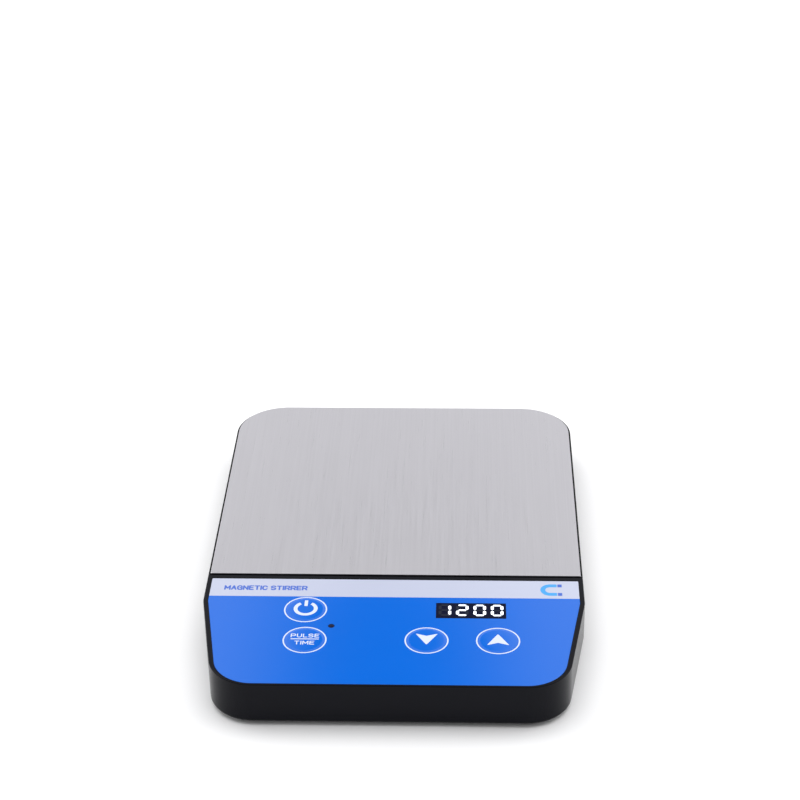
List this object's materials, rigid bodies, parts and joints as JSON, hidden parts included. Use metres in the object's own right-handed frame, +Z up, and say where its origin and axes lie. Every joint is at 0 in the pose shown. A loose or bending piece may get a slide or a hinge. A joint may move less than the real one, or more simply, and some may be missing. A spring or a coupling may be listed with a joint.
{
  "type": "magnetic stirrer",
  "caption": "Flat laboratory magnetic stirrer with a brushed steel plate, a membrane key panel, a speed display and a motor that spins two drive magnets under the plate.",
  "frame": {"origin": "on the bench, under the middle of the case's outline", "axes": "+Z up, -Y towards the control panel and the user, +X to the user's right"},
  "size_m": [0.115, 0.16, 0.0149],
  "materials": {
    "case_plastic": "fine moulded satin, black",
    "plate_steel": "brushed from front to rear",
    "overlay_film": "satin polycarbonate film, printed blue with a pale strip at the rear",
    "window": "gloss smoked window",
    "led_lens": "smoked lens",
    "foot_rubber": "matte, dark grey",
    "screw_steel": "turned, zinc plated",
    "circuit_board": "green solder mask over glass cloth",
    "display_body": "black face, pale segments",
    "chip_epoxy": "moulded epoxy",
    "white_nylon": "natural nylon",
    "jack_plastic": "moulded, black",
    "jack_contact": "nickel plated",
    "ribbon_film": "amber polyimide film",
    "red_insulation": "soft, red",
    "black_insulation": "soft, black",
    "motor_steel": "pressed sheet, zinc plated",
    "bearing_steel": "ground",
    "bearing_bronze": "sintered bronze, oiled",
    "coil_copper": "enamelled copper winding",
    "ferrite": "pressed ferrite, matt",
    "magnet_nickel": "nickel plated"
  },
  "bodies": {
    "case": {"upper_case": "case_plastic", "lower_cover": "case_plastic", "stirring_plate": "plate_steel", "panel_overlay": "overlay_film", "display_window": "window", "status_led": "led_lens", "rubber_foot_1": "foot_rubber", "rubber_foot_2": "foot_rubber", "rubber_foot_3": "foot_rubber", "rubber_foot_4": "foot_rubber", "case_screw_1": "screw_steel", "case_screw_2": "screw_steel", "case_screw_3": "screw_steel", "case_screw_4": "screw_steel", "main_board": "circuit_board", "display_module": "display_body", "controller_chip": "chip_epoxy", "motor_connector": "white_nylon", "power_connector": "white_nylon", "board_screw_1": "screw_steel", "board_screw_2": "screw_steel", "board_screw_3": "screw_steel", "board_screw_4": "screw_steel", "power_switch": "chip_epoxy", "mode_switch": "chip_epoxy", "down_switch": "chip_epoxy", "up_switch": "chip_epoxy", "dc_jack": "jack_plastic", "dc_jack_pin": "jack_contact", "motor_ribbon": "ribbon_film", "power_lead_positive": "red_insulation", "power_lead_negative": "black_insulation", "motor_base": "motor_steel", "bearing_housing": "bearing_steel", "bearing_sleeve": "bearing_bronze", "stator_board": "circuit_board", "stator_coil_1": "coil_copper", "stator_coil_2": "coil_copper", "stator_coil_3": "coil_copper", "stator_coil_4": "coil_copper", "stator_coil_5": "coil_copper", "stator_coil_6": "coil_copper", "motor_screw_1": "screw_steel", "motor_screw_2": "screw_steel", "motor_screw_3": "screw_steel"},
    "rotor": {"motor_shaft": "bearing_steel", "rotor_ring_magnet": "ferrite", "rotor_yoke": "motor_steel", "magnet_carrier": "white_nylon", "drive_magnet_1": "magnet_nickel", "drive_magnet_2": "magnet_nickel"},
    "power_key": {"power_key": "overlay_film", "power_plunger": "white_nylon"},
    "mode_key": {"mode_key": "overlay_film", "mode_plunger": "white_nylon"},
    "down_key": {"down_key": "overlay_film", "down_plunger": "white_nylon"},
    "up_key": {"up_key": "overlay_film", "up_plunger": "white_nylon"}
  },
  "joints": [
    {"name": "rotor_spin", "type": "hinge", "parent": "case", "child": "rotor", "pos_m": [0, 0.0277, 0.0092], "axis": [0, 0, 1], "continuous": true},
    {"name": "power_key_press", "type": "slide", "parent": "case", "child": "power_key", "axis": [0, 0, -1], "range_m": [0, 0.00025], "stiffness_N_per_m": 2000, "springref_m": -0.0003},
    {"name": "mode_key_press", "type": "slide", "parent": "case", "child": "mode_key", "axis": [0, 0, -1], "range_m": [0, 0.00025], "stiffness_N_per_m": 2000, "springref_m": -0.0003},
    {"name": "down_key_press", "type": "slide", "parent": "case", "child": "down_key", "axis": [0, 0, -1], "range_m": [0, 0.00025], "stiffness_N_per_m": 2000, "springref_m": -0.0003},
    {"name": "up_key_press", "type": "slide", "parent": "case", "child": "up_key", "axis": [0, 0, -1], "range_m": [0, 0.00025], "stiffness_N_per_m": 2000, "springref_m": -0.0003}
  ]
}
